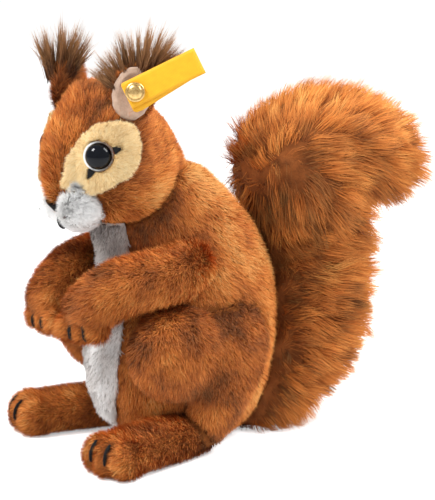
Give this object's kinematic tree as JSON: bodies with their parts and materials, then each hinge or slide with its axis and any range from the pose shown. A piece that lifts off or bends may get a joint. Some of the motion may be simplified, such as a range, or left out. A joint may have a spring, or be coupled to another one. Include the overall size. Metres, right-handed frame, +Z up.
{
  "type": "plush squirrel",
  "caption": "Sitting plush squirrel with tufted ears, cream eye panels, white muzzle and bib, bushy curled tail and an ear ribbon on a brass rivet.",
  "frame": {"origin": "on the floor, below the middle of the toy's box", "axes": "+Z up; the squirrel faces -Y and its left side, with the ear ribbon, is on +X"},
  "size_m": [0.1046, 0.195, 0.1919],
  "materials": {
    "rust_plush": "short combed plush pile",
    "tail_pile": "long soft plush pile",
    "white_plush": "short fluffy pile",
    "cream_velour": "close clipped velour",
    "white_felt": "pressed felt",
    "beige_felt": "pressed felt",
    "brown_pile": "long straight pile with lighter tips",
    "black_thread": "twisted embroidery thread",
    "eye_plastic": "polished",
    "washer_plastic": "as moulded",
    "yellow_ribbon": "woven ribbon",
    "brass": "stamped and polished"
  },
  "bodies": {
    "root": {"torso": "rust_plush", "bib": "white_plush", "head": "rust_plush", "muzzle": "white_plush", "eye_patch_left": "cream_velour", "eye_patch_right": "cream_velour", "eye_ring_left": "white_felt", "eye_ring_right": "white_felt", "eye_left": "eye_plastic", "eye_right": "eye_plastic", "eye_washer_left": "washer_plastic", "eye_washer_right": "washer_plastic", "eye_corner_front_left": "black_thread", "eye_corner_front_right": "black_thread", "eye_corner_back_left": "black_thread", "eye_corner_back_right": "black_thread", "nose_stitch": "black_thread", "mouth_stitch": "black_thread", "ear_left": "rust_plush", "ear_right": "rust_plush", "inner_ear_left": "beige_felt", "inner_ear_right": "beige_felt", "ear_tuft_left": "brown_pile", "ear_tuft_right": "brown_pile", "ear_tag": "yellow_ribbon", "ear_button": "brass", "arm_left": "rust_plush", "arm_right": "rust_plush", "leg_left": "rust_plush", "leg_right": "rust_plush", "foot_left": "rust_plush", "foot_right": "rust_plush", "claw_hand_left_1": "black_thread", "claw_hand_left_2": "black_thread", "claw_hand_right_1": "black_thread", "claw_hand_right_2": "black_thread", "claw_foot_left_1": "black_thread", "claw_foot_left_2": "black_thread", "claw_foot_right_1": "black_thread", "claw_foot_right_2": "black_thread", "tail": "tail_pile"}
  },
  "joints": []
}
